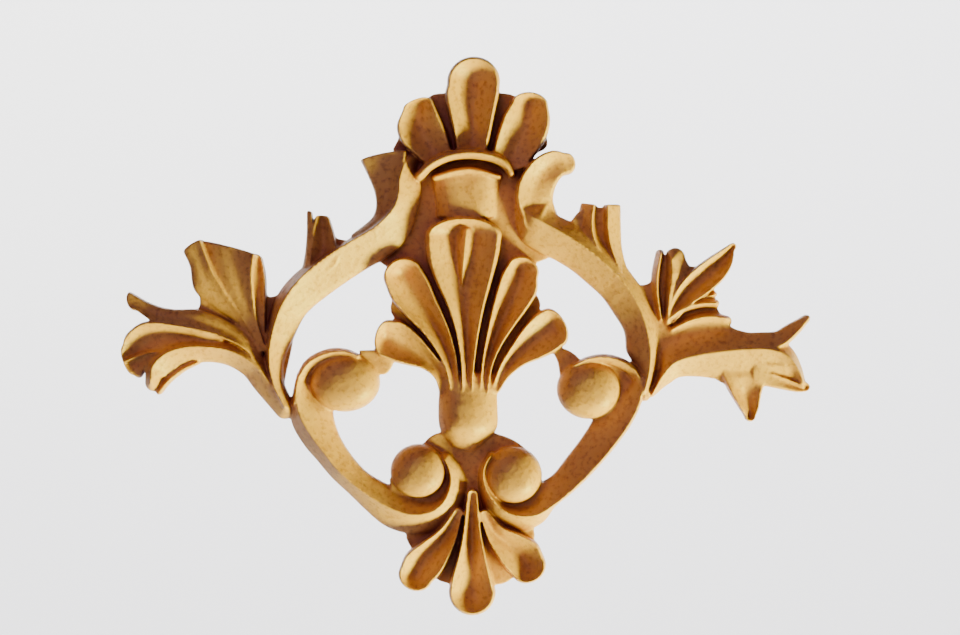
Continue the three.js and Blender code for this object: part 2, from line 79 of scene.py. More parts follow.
def smoothRows(rows, steps):
    # Catmull-Rom curve through rows of numbers
    last = len(rows) - 1
    before = [2 * a - b for a, b in zip(rows[0], rows[1])]
    after = [2 * a - b for a, b in zip(rows[last], rows[last - 1])]
    padded = [before, *rows, after]
    result = []
    for i in range(steps + 1):
        place = i / steps * last
        start = min(int(place), last - 1)
        t = place - start
        a, b, c, d = padded[start:start + 4]
        result.append([0.5 * (2 * q + (r - p) * t + (2 * p - 5 * q + 4 * r - s) * t * t
                              + (3 * q - p - 3 * r + s) * t ** 3) for p, q, r, s in zip(a, b, c, d)])
    return result


def vertsOf(grown):
    return [g for g in grown if isinstance(g, bmesh.types.BMVert)]


def edgesOf(grown):
    return [g for g in grown if isinstance(g, bmesh.types.BMEdge)]


def addBody(loops):
    # One closed body: a ring of edges drawn out from loop to loop, then added to the carving
    body = bmesh.new()
    ring = bmesh.ops.create_circle(body, segments=len(loops[0]), radius=1)["verts"]
    edges = body.edges[:]
    for vert, point in zip(ring, loops[0]):
        vert.co = point
    for loop in loops[1:]:
        grown = bmesh.ops.extrude_edge_only(body, edges=edges)["geom"]
        edges = edgesOf(grown)
        fresh = set(vertsOf(grown))
        ring = [next(e.other_vert(v) for e in v.link_edges if e.other_vert(v) in fresh) for v in ring]
        for vert, point in zip(ring, loop):
            vert.co = point
    bmesh.ops.remove_doubles(body, verts=body.verts, dist=0.001)
    addToCarving(body)


def addToCarving(body):
    part = bpy.data.meshes.new("part")
    bmesh.ops.recalc_face_normals(body, faces=body.faces)
    body.to_mesh(part)
    body.free()
    carving.from_mesh(part)
    bpy.data.meshes.remove(part)


def outlineOf(stations, rounded, tip):
    # Around a spine: left border forwards, round the tip, right border backwards, round the foot
    last = len(stations) - 1
    heading = []
    for i in range(last + 1):
        a, b = stations[max(0, i - 1)], stations[min(last, i + 1)]
        heading.append(Vector((b[0] - a[0], b[1] - a[1])).normalized())

    def place(i, across, forward, reach):
        dx, dz = heading[i]
        middle = Vector(stations[i][:2])
        along = forward * tip
        outwards = Vector((along * dx - across * dz, along * dz + across * dx))
        return [i, across, middle, middle + reach * outwards]

    def side(hand, column):
        border = []
        for i in range(last + 1):
            point = place(i, hand, 0, max(casting["leastReach"], stations[i][column]))
            if border and (point[3] - border[-1][3]).dot(heading[i]) < 0.02:  # a tight bend folds back
                point[3] = border[-1][3]
            border.append(point)
        return border

    def cap(i, forward):
        points = []
        start, end = (2, 3) if forward > 0 else (3, 2)
        for k in range(1, casting["capSteps"]):
            turn = math.pi * k / casting["capSteps"]
            share = 0.5 - 0.5 * math.cos(turn)
            reach = stations[i][start] * (1 - share) + stations[i][end] * share
            points.append(place(i, forward * math.cos(turn), forward * math.sin(turn),
                                max(casting["leastReach"], reach)))
        return points

    left, right = side(1, 2), side(-1, 3)[::-1]
    return left + (cap(last, 1) if rounded else []) + right + (cap(0, -1) if rounded else [])


def outlineBetween(stations, tip):
    # Around two borders, with half ellipses at tip and foot: rows begin with a left and a right point
    last, steps = len(stations) - 1, casting["capSteps"]

    def around(i, turn):
        left, right = Vector(stations[i][:2]), Vector(stations[i][2:4])
        middle, side = (left + right) / 2, (left - right) / 2
        ahead = Vector((side.y, -side.x)) * tip
        return [i, math.cos(turn), middle, middle + side * math.cos(turn) + ahead * math.sin(turn)]

    left = [around(i, 0) for i in range(last + 1)]
    right = [around(i, math.pi) for i in range(last, -1, -1)]
    head = [around(last, math.pi * k / steps) for k in range(1, steps)]
    foot = [around(0, math.pi + math.pi * k / steps) for k in range(1, steps)]
    return left + head + right + foot


def stroke(stations, outline, shares, profile):
    # Body over an outline; the profile gives the height at each share of the way from spine to border
    def level(share, heightAt):
        loop = []
        for i, across, middle, edge in outline:
            point = middle.lerp(edge, share)
            loop.append(Vector((point.x, -heightAt(stations[i], across, share), point.y)))
        return loop

    def carved(row, across, share):
        return max(1, profile(row, across, share))

    def flat(row, across, share):
        return 0

    addBody([level(0, flat), level(1, flat)] + [level(share, carved) for share in shares])


def fineRows(rows):
    # Rows as close together as the step length asks
    length = sum(math.dist(a[:2], b[:2]) for a, b in zip(rows, rows[1:]))
    return smoothRows(rows, max(len(rows) * 2, round(length / casting["stepLength"])))


def ridge(rows, top, left, right, rounded=True, tip=1):
    # Blade: rows are x, z, left and right half-width, with an optional rise; faces fall from a ridge
    stations = fineRows([[*row[:4], row[4] if len(row) > 4 else 0] for row in rows])

    def profile(row, across, share):
        edge = right + (left - right) * (0.5 + 0.5 * across)
        return top + row[4] - (top + row[4] * 0.5 - edge) * share ** 0.9 - 0.5 * max(0, share - 0.9) / 0.1

    shares = [1, 0.95, 0.85, 0.7, 0.55, 0.4, 0.25, 0.12, 0.04, 0]
    stroke(stations, outlineOf(stations, rounded, tip), shares, profile)


def cushion(rows, edge, power, rounded=True, tip=1):
    # Rows are x, z, left and right half-width and height on the spine, rounded down to the border
    stations = fineRows(rows)

    def profile(row, across, share):
        return row[4] - (row[4] - edge) * share ** power

    shares = [1, 0.96, 0.9, 0.8, 0.65, 0.5, 0.3, 0.15, 0]
    stroke(stations, outlineOf(stations, rounded, tip), shares, profile)


def trough(rows, tip=1):
    # Rows are left and right border point, height of the left rim, of the hollow and of the right rim
    crest, fall = 0.9, 2.5  # where the rim is highest, and how far it drops from there to the border
    stations = fineRows([[*row[:6], row[6] if len(row) > 6 else row[4]] for row in rows])

    def profile(row, across, share):
        rim = row[6] + (row[4] - row[6]) * (0.5 + 0.5 * across)
        if share <= crest:
            return row[5] + (rim - row[5]) * (share / crest) ** 1.5
        return rim - fall * ((share - crest) / (1 - crest)) ** 1.3

    shares = [1, 0.98, 0.95, 0.92, 0.9, 0.86, 0.78, 0.66, 0.52, 0.38, 0.24, 0.1, 0]
    stroke(stations, outlineBetween(stations, tip), shares, profile)


def dome(x, z, halfWidth, halfHeight, top, edge):
    # Eye of a volute, its highest point towards the lower right
    lean, sides, rings = 0.3, casting["eyeSides"], casting["eyeRings"]

    def loop(share, rise, height):
        turns = [-2 * math.pi * i / sides for i in range(sides)]
        return [Vector((x + halfWidth * (share * math.cos(t) + lean * rise), -height,
                        z + halfHeight * (share * math.sin(t) - lean * rise))) for t in turns]

    turns = [math.pi / 2 * k / rings for k in range(rings + 1)]
    addBody([loop(0, 0, 0), loop(1, 0, 0)]
            + [loop(math.cos(t), 1 - math.cos(t), edge + (top - edge) * math.sin(t)) for t in turns])


def plate(corners, top):
    # Flat piece of ground inside a smooth outline
    body = bmesh.new()
    rows = smoothRows([*corners, corners[0]], len(corners) * casting["plateSteps"])[:-1]
    rim = bmesh.ops.create_circle(body, cap_ends=True, segments=len(rows), radius=1)["verts"]
    for vert, (x, z) in zip(rim, rows):
        vert.co = (x, 0, z)
    grown = bmesh.ops.extrude_face_region(body, geom=body.faces[:])["geom"]
    bmesh.ops.translate(body, vec=(0, -top, 0), verts=vertsOf(grown))
    addToCarving(body)


def carveUpperBands():
    # Left band and its curl, seen from outside, then the right band and its hook
    ridge([[-19.6, 56.5, 3, 2.4, -3], [-21.4, 53.6, 4.4, 2.4, -1], [-22.6, 50, 6.4, 2],
        [-22.8, 46.5, 7, 2], [-23.8, 42, 7.2, 2], [-26.5, 38, 9, 2], [-31, 34, 10, 2],
        [-38, 30, 10, 1.2], [-46, 25, 10.1, 1], [-54, 18.5, 9.6, 2.5], [-60, 10.5, 8, 3],
        [-63.5, 1, 6.8, 2], [-64.6, -8, 4.8, 1.6], [-63, -16, 3, 1.6],
        [-59.5, -23, 2.5, 2]], relief["band"], 6.5, relief["lowEdge"])
    trough([[-38.6, 31.8, -35, 31, 7.5, 9.5, 11], [-35, 34.6, -30, 33.8, 6, 9, 11.5],
        [-31.6, 37.6, -26, 37.2, 6, 8.4, 11.5], [-30.4, 41.4, -23.4, 41.4, 6, 8, 11.5],
        [-31, 46, -22.2, 46, 6, 7.6, 11.5], [-32.8, 50.4, -21.6, 51, 6.5, 7.6, 11],
        [-35.4, 55.8, -20, 58.6, 7, 8, 9.5]], tip=0.12)
    ridge([[16.4, 45, 8, 0.8, -4], [17.5, 40, 9.5, 3, -2], [21, 37, 7, 8], [26, 34.5, 4.4, 9],
        [32, 31, 5, 8.4], [38, 27, 5, 8.2], [44, 22, 5, 8.2], [49, 17, 4, 8], [53.5, 10.5, 4, 8],
        [56.5, 3, 4, 7], [58, -5, 3, 7.4], [57.5, -12, 3, 4],
        [56, -18, 3, 3]], relief["band"], 6.5, 6, rounded=False)
    trough([[16.6, 37.4, 29.6, 35.4, 9.5, 7.2, 5.5], [15, 42.6, 27, 42, 11.5, 8.4, 7],
        [15.4, 48, 27.2, 46, 12, 8.4, 8.5], [17.8, 52.8, 28.6, 49.2, 12, 8.4, 9.5],
        [21.8, 56.8, 30, 50.8, 12, 8.6, 9.5], [26.6, 58.8, 31.2, 51.2, 11.5, 9, 9.5],
        [30.6, 58, 32, 51.4, 11, 9, 9]], tip=0.8)


def carveLowerScrolls():
    # Left and right C-scroll, the short scroll over each of them, then the four volute eyes
    ridge([[-55, -13, 2, 1], [-56, -19.5, 6, 1.4], [-54.4, -26.5, 10.6, 3.6], [-50.4, -33, 8.2, 4],
        [-46.6, -38, 6.6, 3.6], [-42.5, -43, 6, 3.5], [-37, -48, 5.4, 3.6], [-31, -52.2, 5.8, 4.8],
        [-25, -55.5, 6.4, 6.2], [-19, -57.3, 6, 6.4], [-13, -56.6, 4, 6.4], [-8.8, -53.6, 2.4, 6],
        [-6.6, -49, 1.2, 5.4], [-6.4, -44, 1, 4],
        [-8.2, -39.6, 1.2, 2.4]], relief["scroll"], relief["lowEdge"], 5)
    ridge([[55.6, -13, 1.6, 2], [54.8, -21, 0.8, 9], [51.6, -28, 0.8, 11.2], [47, -34.5, 0.8, 10],
        [42, -40.5, 0.8, 9.2], [37, -45.8, 0.8, 8.6], [32, -50.4, 0.8, 7.6], [27, -54.3, 0.9, 7.8],
        [22, -57.2, 3.4, 5], [16.5, -57.8, 5, 3.4], [11.5, -56.4, 5, 2.6], [8, -53.4, 4, 2],
        [5, -48.6, 2.2, 1.4], [4.4, -43, 1.2, 1.4],
        [6.6, -38.4, 0.9, 1.2]], relief["scroll"], 5, relief["lowEdge"])
    ridge([[-56.6, -22, 0.8, 1.6], [-55.2, -14, 0.9, 2], [-51.5, -8.6, 1.4, 2.4],
        [-45.5, -5.8, 1.4, 2.2], [-40, -5.5, 1, 1.6], [-36, -6.8, 0.6, 1]], relief["scroll"], 8, 8)
    ridge([[56.3, -20, 1, 1.5], [54, -13, 2, 1.4], [50, -9.2, 2.2, 1.2], [44.5, -7.2, 2.2, 1],
        [38.5, -7.6, 1.8, 0.8], [33.5, -9.8, 1, 0.6]], relief["scroll"], 8, 8)
    dome(-40.4, -15.2, 11.3, 9.4, relief["eye"], relief["eyeEdge"])
    dome(-16.6, -43.6, 9.1, 8.6, relief["eye"], relief["eyeEdge"])
    dome(38.2, -17.4, 10.2, 9.5, relief["eye"], relief["eyeEdge"])
    dome(13.9, -44.9, 9.3, 9.1, relief["eye"], relief["eyeEdge"])


def carveCentrePalmette():
    # Tall middle lobe and the tongue in it, two pairs of side lobes, then the knob under them
    trough([[-2.6, -21, 0.7, -21, 8, 7], [-2.9, -10, 1.4, -10, 10.5, 7.5], [-4.5, 0, 2.8, 0, 11.5, 7],
        [-7.2, 8.5, 4.7, 9, relief["petal"], 6.5], [-10.7, 16, 7, 17, relief["petal"], 6],
        [-13.5, 23.4, 9, 24.4, relief["petal"], 6],
        [-14.4, 31.4, 10.2, 31.8, relief["petal"], 6]], tip=0.48)
    ridge([[-2.6, 13, 1, 1, -5.4], [-2.4, 19, 2.2, 2.6, -2.4], [-1.8, 26, 3, 3.8, -0.4],
        [-1.2, 33.6, 3, 4]], 11.4, 6, 6, tip=0.6)
    trough([[-6, -21, -3.3, -21, 7.5, 6.5], [-7.8, -11.4, -3.9, -9.6, 9.5, 6.5],
        [-11.2, -4.8, -5.6, -1.4, 10.5, 6], [-15.8, 1.2, -8, 5.2, 11, 5.5],
        [-20.8, 6, -10.9, 11.6, 11, 5.5], [-25, 10.8, -13.2, 17.2, 11, 5.5],
        [-27.5, 16.6, -16, 21.6, 11, 5.5]], tip=0.85)
    trough([[2.9, -21, 5.6, -21, 7.5, 6.5], [3.7, -9.6, 7, -11, 9.5, 6.5], [5, -1.4, 10, -3.8, 10.5, 6],
        [6.6, 6.6, 14.2, 2.6, 11, 5.5], [8.3, 13.6, 18.4, 8.2, 11, 5.5], [10, 19, 21.5, 13.4, 11, 5.5],
        [12, 22.4, 21.8, 18, 11, 5.5]], tip=0.9)
    trough([[-9.8, -19, -7, -17, 6.5, 6], [-11.4, -14, -8.4, -10.4, 8, 6],
        [-15.2, -11, -12.2, -5.2, 9, 5.5], [-20, -9.8, -16.8, 0.2, 9.5, 5],
        [-24.8, -8.6, -21.6, 4.2, 9.5, 5], [-28.2, -7.2, -26, 4.8, 9.5, 5]], tip=0.6)
    trough([[7.2, -16, 9.4, -18.4, 6.5, 6], [9.4, -10, 12.4, -13.8, 8, 6], [12.8, -4.2, 17, -10, 9, 5.5],
        [16.6, 1.6, 22.4, -7.8, 9.5, 5], [20.4, 6, 27.2, -5.6, 9.5, 5],
        [23.8, 8.2, 30.2, -3.4, 9.5, 5]], tip=0.6)
    cushion([[-1.6, -12, 9.4, 7.8, 7], [-1.6, -18, 10.2, 8.4, 8.6], [-1.7, -24, 10.6, 8.6, 10.4],
        [-1.8, -29.5, 10.4, 8.2, 11], [-2.2, -33.4, 6.6, 6.4, 8.5],
        [-3, -36.4, 3, 3, 6]], 5, 2.6, rounded=False)


def carveCupAndBead():
    # Cup over the palmette, the thin roll on its lip, then the curved bead above
    cushion([[-1.2, 50.6, 11.4, 11.2, 8.4], [-1.2, 46.5, 10.2, 10.4, 8.8], [-1.2, 42, 9.4, 9.6, 9.2],
        [-1.2, 38, 9.2, 9.4, 9.2]], 5, 4, tip=0.15)
    cushion([[-11.4, 50.2, 0.9, 0.9, 9.6], [-5, 52, 1.1, 1.1, 10.4], [1, 52.5, 1.1, 1.1, 10.4],
        [9.4, 50.4, 0.9, 0.9, 9.6]], 7.5, 2)
    cushion([[-16.4, 50.6, 1.4, 1.4, 12], [-12.6, 54.2, 1.7, 1.7, 12.5], [-7, 56.8, 1.7, 1.7, 13],
        [0, 57.8, 1.7, 1.7, relief["bead"]], [7, 56.8, 1.7, 1.7, 13], [11, 54.6, 1.6, 1.6, 12.5],
        [13.4, 51.4, 1.2, 1.2, 12]], 8, 2)


def carveEndPalmettes():
    # Three lobes at the top, then three at the bottom, each with its middle lobe first
    trough([[-4.8, 61.4, 6, 61.4, 10, 7], [-5.4, 65, 6.8, 65, 11.4, 6.4],
        [-6.6, 70, 7.8, 70, relief["petal"], 6], [-8, 76.2, 9.2, 76.6, relief["petal"], 6],
        [-7.4, 79.8, 9.7, 81.4, 11.5, 6]], tip=0.95)
    trough([[-16.6, 56.4, -5.6, 58.4, 8.5, 7], [-22, 61.4, -7.4, 64.4, 10, 6],
        [-23.6, 66.6, -10.2, 70.6, 10.5, 5.5], [-21.6, 71.8, -12.2, 75, 10, 5.5]], tip=0.4)
    trough([[7, 58, 19.6, 55.6, 8.5, 7], [8.6, 64, 24, 61.6, 10, 6], [10.8, 70, 25.8, 67.6, 11, 5.5],
        [13.2, 73.8, 25.2, 73, 10.5, 5.5]], tip=0.68)
    trough([[2.4, -51, -1, -51, 9.5, 8], [3.4, -62, -2.2, -62, 11, 7],
        [5, -70, -3.8, -70, relief["petal"], 6], [6.8, -77, -5.9, -77, 11.5, 5.5],
        [8.3, -82, -6.9, -82, 10, 5]])
    trough([[-2.6, -58, -4.8, -55.4, 9, 8], [-4.2, -65, -9.4, -61.6, 10.5, 6.5],
        [-6.6, -70.8, -15, -65.8, 11, 5.5], [-9, -75.6, -20.4, -69.8, 10.5, 5],
        [-12.4, -79.2, -22.8, -74.8, 9.5, 5]], tip=0.85)
    trough([[5.6, -56, 3.4, -58.6, 9, 8], [10.2, -61, 5.8, -65.6, 10.5, 6.5],
        [16, -63.4, 8.4, -70.2, 11, 5.5], [21.4, -66.4, 10.8, -74, 10.5, 5],
        [24, -71.4, 13.6, -77, 9.5, 5]], tip=0.85)


def carveLeftLeaf():
    # Long blade, upper blade and curled tips, then the broad flag and the ground behind them all
    ridge([[-59, -23, 4.4, 2], [-65, -14.5, 5.4, 2], [-70, -9, 5, 3], [-77, -5.2, 4.8, 3],
        [-85, -3.8, 5, 2.4], [-92, -4, 6.5, 2], [-98, -6, 8.2, 2], [-102, -10, 7, 2.2],
        [-102.6, -15.3, 3.2, 2.2]], relief["leaf"], relief["lowEdge"], 7)
    ridge([[-88, -9, 0.6, 1], [-93, -11.3, 0.8, 1.2], [-97.5, -15, 0.8, 1.2],
        [-100.3, -18.4, 0.8, 1]], 8, 7, 6)
    trough([[-66, -13, -65.4, -10, 8, 7, 7], [-72, -5.2, -70, -1, 10.5, 8, 6],
        [-79, -1.4, -77.4, 4.4, 11, 8, 5.5], [-87, 1.2, -86.6, 8, 11.5, 8.4, 6.5],
        [-95, 2.6, -96, 8.2, 11.5, 8.4, 7.2], [-101.6, 4, -102.6, 9.8, 11, 8, 7],
        [-107.6, 7.8, -110, 13.8, 9.5, 7.5, 7]], tip=0.6)
    trough([[-80, -3, -79.6, -1.6, 8.5, 8.4, 8.6], [-85.6, -4.6, -85, 0.8, 9, 8.6, 11],
        [-91, -4.6, -91, 2.6, 9, 7.4, 11.5], [-98.6, -6, -98.6, 4, 8.5, 6.2, 11.5],
        [-104, -9.8, -105.4, 4, 7.5, 5.6, 11], [-106.4, -13.8, -110.6, 0.4, 7, 5.2, 9.5],
        [-109, -12.8, -112.2, -3.6, 7, 5.5, 8]], tip=0.3)
    ridge([[-98, -5.2, 0.8, 0.8], [-104.4, -6, 1, 1], [-111, -8.4, 0.9, 0.9]], 8.5, 5.5, 6)
    trough([[-68, -6, -66.6, -5, 6, 6.6, 7.4], [-75.6, 3.6, -72.4, 4.4, 5.2, 6.4, 7.6],
        [-83, 8.6, -77.6, 12, 4.6, 6, 7.6], [-89.2, 14.2, -82, 19.4, 4.6, 5.9, 7.8],
        [-90.6, 21.6, -84.6, 25, 4.6, 5.9, 7.8], [-92.8, 26.6, -86.6, 30.4, 4.6, 5.8, 7.4]], tip=0.2)
    trough([[-68, -5.4, -65.4, -5, 7, 7.4, 8], [-72.8, 3.6, -68.2, 4, 6.8, 7.8, 9.2],
        [-78, 11.4, -69.2, 12, 6.6, 8.2, 10.6], [-82.6, 19, -69.4, 19.4, 6.2, 8.4, 11.6],
        [-86.6, 30, -68.6, 25.4, 5.4, 8, 11.4]], tip=0.06)
    trough([[-67.6, -4, -65.6, -5, 7, 6.4, 6.4], [-69.2, 6, -66, 5, 7.6, 7, 7.8],
        [-70, 14, -65.8, 13.4, 8, 7.4, 8.8], [-70, 20.4, -66, 19.2, 8.2, 7.4, 9],
        [-69, 25.8, -67, 24, 8, 7.4, 8.6]], tip=0.3)
    plate([[-60, -22], [-68, -14], [-76, -9], [-88, -7], [-102, -10], [-109, -8], [-104, 3], [-98, 6],
        [-88, 8], [-88, 16], [-88.4, 24], [-83, 28.4], [-70, 25.6], [-67, 18], [-65, 12], [-57, 14],
        [-57, 0], [-60, -15]], relief["ground"])


def carveRightLeaf():
    # Long blade and its split tip, small fingers, pointed lobe, then the ground behind them all
    ridge([[58.6, -19, 0.8, 1], [61.6, -13.4, 1.6, 3.6], [66, -8.8, 6.6, 5.2], [73, -6.6, 7.6, 7],
        [81, -5.4, 8, 9.2], [89, -4.6, 5.6, 10.4], [96, -4.6, 4.4, 10.6], [101.6, -6.4, 3.2, 8],
        [105.4, -11, 1.8, 4], [107.2, -15.2, 1, 2]], relief["leaf"], 6, 6.5)
    trough([[95.6, -13.6, 80.8, -13, 8, 7.8], [94, -19, 84.2, -19.2, 8.5, 5.8, 9.5],
        [93.2, -23.4, 87, -23.6, 8, 5.5, 9.5], [92.2, -26, 88.6, -26, 7.5, 5, 8]])
    trough([[94, -8.4, 95, -16.4, 9, 8.6, 8], [100, -9.4, 101, -17.6, 9.5, 7.6, 8.5],
        [105, -12, 105.6, -18.4, 9, 6.6, 8.5], [108, -15.2, 108.2, -18.2, 8.5, 6.5, 8]])
    ridge([[97, -12.4, 1.6, 1.6], [103, -14.6, 1.2, 1.2], [107.4, -16.6, 0.6, 0.6]], 9, 6.5, 6.5)
    ridge([[87, -4.4, 5, 1], [94, -4.6, 5.4, 0.8], [100.4, -3.4, 4.8, 0.8], [105.2, 0.6, 3.8, 0.8],
        [108.8, 5, 1.6, 0.8]], 10, 7, 7)
    ridge([[63.6, 4.6, 1, 1], [68, 8, 1.8, 1.6], [74, 9.8, 2, 1.6], [79, 10, 1.4, 1.4]], 10.5, 7, 7)
    ridge([[65, 1.6, 1, 1.6], [71, 4.6, 1.4, 2.6], [77, 5.8, 1.5, 3.4], [82.4, 5.2, 1, 3]], 10, 7, 5.5)
    trough([[64, 5.4, 66.4, 4.4, 9, 8], [65.6, 13, 71, 9.4, 10.5, 7], [69.6, 18.8, 76.4, 13, 11, 6.5],
        [75.4, 23.6, 81.4, 17.4, 10.5, 6], [81, 27.2, 84.4, 22.2, 9, 5.5],
        [84.4, 29.3, 85.4, 27.2, 7, 5]])
    ridge([[73, 11.4, 1.5, 2], [76.3, 12, 1.5, 1.5], [79, 13, 0.8, 0.8]], 9, 6, 6)
    ridge([[63.4, 4, 1, 1.5], [64, 12, 1.4, 3.4], [64.8, 19, 1.8, 6.4],
        [64.8, 24.4, 1.6, 4.6]], 10.5, 6.5, 8)
    ridge([[61.5, 5, 1.2, 1], [60.2, 13, 1.5, 1.3], [60.2, 19, 1.6, 1.4],
        [61.4, 26, 1.4, 1.2]], 10, 6, 6.5)
    plate([[58, -20], [64, -14.5], [76, -13], [83, -16], [92, -16], [104, -14], [102, -4], [92, 0],
        [84, 2.6], [80, 8], [78.6, 14], [80, 21], [70, 22], [62, 24.6], [58.6, 17], [53, 14],
        [56, 0]], relief["leafGround"])


def carveTufts():
    # Small leaves that stand on the backs of the upper bands, and the ground between them
    trough([[-57, 13.6, -52, 18, 6, 8, 11], [-54, 22.6, -51.2, 23, 6, 8, 9.5],
        [-52.9, 31, -50.6, 31, 6, 7.5, 8.5], [-52.7, 39.4, -51, 39, 6.5, 7, 8]], tip=0.5)
    trough([[-53, 17, -42, 25, 8, 9, 11], [-51.6, 24.6, -43, 28.6, 8.5, 6, 9.5],
        [-50.8, 31.6, -44, 33, 8.5, 5.5, 9.5], [-50, 37.6, -45.4, 37.4, 8.5, 5.5, 9]], tip=0.3)
    ridge([[45, 22, 3, 3], [40.5, 29.5, 5, 1.6], [39.2, 35.5, 4.5, 1.6],
        [40, 41.6, 4.2, 0.9]], relief["tuft"], 5, relief["lowEdge"], rounded=False)
    ridge([[50.4, 16, 2, 1.6], [46, 26, 2, 3.4], [44.4, 33, 1.8, 4.4],
        [44.2, 41.6, 1.2, 4.4]], relief["tuft"], 5, relief["lowEdge"], rounded=False)
    plate([[-54, 18], [-52, 27], [-51, 36], [-47, 37], [-44, 31.4], [-38, 29], [-44, 22]], 4.5)
    plate([[31, 34], [36, 40], [44, 40.5], [48, 39], [48.6, 28], [52, 16],
        [46, 18]], relief["leafGround"])


def carveGround():
    # Low ground that joins the carvings: behind the palmettes, then in the crooks of the scrolls
    plate([[-25, 59.4], [-17, 52], [-20, 38], [-29.4, 25], [-22, 21], [0, 20], [25, 24.4], [20, 34],
        [18, 44], [19, 56], [25, 60.6], [22, 68], [13.4, 77], [0, 76], [-12, 77],
        [-20, 68]], relief["ground"])
    plate([[-9, -32], [-6, -45], [-12, -58], [-20.6, -63.4], [-17, -71], [-9.6, -79], [4, -80],
        [12.4, -79], [18, -71], [20.6, -62.4], [10, -56], [6, -45], [8, -32]], relief["ground"])
    plate([[-26, -46], [-14, -50], [-7, -46], [-8, -53], [-14, -57], [-24, -54]], relief["leafGround"])
    plate([[8, -47], [16, -52], [24, -47], [25, -52], [16, -57], [8, -54]], relief["leafGround"])
    plate([[-36, -5], [-30, -5], [-25, -6], [-25.4, -10.6], [-29, -12.6]], relief["leafGround"])
    plate([[26.4, -4.6], [31.4, -4.8], [36, -9], [34, -15], [29.6, -14],
        [28.4, -9]], relief["leafGround"])
    plate([[-9, -20], [-10, -10], [-18, 0], [-25.6, 7.2], [-22, 16], [-8, 30], [6, 30], [16, 18],
        [22.8, 9.8], [17, -1], [9, -11], [8, -20]], relief["ground"])
    plate([[-17.6, -38], [-11.4, -31.8], [0, -31], [8, -31.6], [15.4, -34.6], [18.6, -39], [12, -46],
        [0, -50], [-14, -46]], relief["ground"])
    plate([[-54, -9], [-46, -7], [-46, -20], [-54, -22]], relief["leafGround"])
    plate([[45, -9.6], [52, -11], [54, -22], [44, -22]], relief["leafGround"])


for carve in (carveUpperBands, carveLowerScrolls, carveCentrePalmette, carveCupAndBead, carveEndPalmettes,
              carveLeftLeaf, carveRightLeaf, carveTufts, carveGround):
    carve()
print("carved bodies:", len(carving.faces), "faces")


def bakedMesh(piece):
    # Mesh of a piece with its modifiers applied and taken off
    mesh = bpy.data.meshes.new_from_object(piece.evaluated_get(bpy.context.evaluated_depsgraph_get()))
    piece.modifiers.clear()
    return mesh


def triangleCount(mesh):
    return sum(len(p.vertices) - 2 for p in mesh.polygons)


def pressCasting():
    # One skin round all the carved bodies, as pulp fills a single mould
    mesh = bpy.data.meshes.new("carvedBodies")
    carving.to_mesh(mesh)
    piece = bpy.data.objects.new("applique_casting", mesh)
    bpy.context.scene.collection.objects.link(piece)
    skin = piece.modifiers.new("skin", "REMESH")
    skin.mode = "VOXEL"
    skin.voxel_size = casting["voxel"]
    skin.adaptivity = 0
    baked = bakedMesh(piece)
    bm = bmesh.new()
    bm.from_mesh(baked)
    for _ in range(casting["softening"]):
        bmesh.ops.smooth_vert(bm, verts=bm.verts, factor=0.5,
                              use_axis_x=True, use_axis_y=True, use_axis_z=True)
    fitToFrame(bm)
    bm.to_mesh(baked)
    piece.data = baked
    print("skin:", len(bm.verts), "points")
    bm.free()
    thin = piece.modifiers.new("thin", "DECIMATE")
    thin.ratio = min(1, casting["triangles"] / triangleCount(baked))
    final = bakedMesh(piece)
    piece.data = final
    final.name = "applique_casting"
    final.shade_smooth()
    print("casting:", triangleCount(final), "triangles")
    return piece


def fitToFrame(bm):
    # Drawn millimetres to the frame's metres, with the flat back on the frame's own back
    inset = casting["inset"]
    low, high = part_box("applique")
    for k in range(3):
        values = [v.co[k] for v in bm.verts]
        least, most = min(values), max(values)
        scale = (high[k] - low[k] - 2 * inset) / (most - least)
        for v in bm.verts:
            v.co[k] = low[k] + inset + (v.co[k] - least) * scale


def toLinear(code):
    # sRGB hex to the linear colour that a socket takes
    channels = [int(code[i:i + 2], 16) / 255 for i in (1, 3, 5)]
    return [c / 12.92 if c <= 0.04045 else ((c + 0.055) / 1.055) ** 2.4 for c in channels] + [1]


def addNode(tree, kind, settings={}, links={}):
    # A node with its sockets or properties set, by name or by number, and its inputs joined
    node = tree.nodes.new("ShaderNode" + kind)
    for name, value in settings.items():
        if isinstance(name, int) or name in node.inputs:
            node.inputs[name].default_value = value
        else:
            setattr(node, name, value)
    for name, source in links.items():
        tree.links.new(source, node.inputs[name])
    return node


pulp = {
    "colour": "#D2944E",      # pressed pulp, tinted a warm tan through
    "paleColour": "#DCA65E",  # rubbed high places and pale fibre
    "paintedShadeColour": "#7E3C24",  # painted shade, the colour that the hollows darken to
    "fleckColour": "#94561F",
    "clumpSize": 7,           # mm between soft clouds of colour
    "fleckSize": 0.7,         # mm, the fibre bundles, as coarse as they need to be to show
    "fleckRange": (0.5, 0.75),
    "fleckShare": 0.55,       # how much of its own colour a full fleck shows
    "waveSize": 2.5,          # mm, the soft unevenness that sanding leaves
    "waveDepth": 0.7,         # mm
    "waveStrength": 0.5,
    "grainDepth": 0.3,        # mm
    "grainStrength": 0.4,
    "paintedShadeReach": 5,         # mm over which a hollow counts as deep, for the painted shade
    "paintedShadeRange": (0.25, 0.85),
    "roughness": 0.5,
    "ior": 1.48,
}


def noise(tree, place, size, detail, roughness=0.5):
    # Cloudy pattern with features of the given size in millimetres
    return addNode(tree, "TexNoise", {"Scale": 1000 / size, "Detail": detail, "Roughness": roughness},
                   {"Vector": place}).outputs["Fac"]


def bump(tree, strength, depth, height, below={}):
    return addNode(tree, "Bump", {"Strength": strength, "Distance": depth / 1000},
                   {"Height": height, **below}).outputs["Normal"]


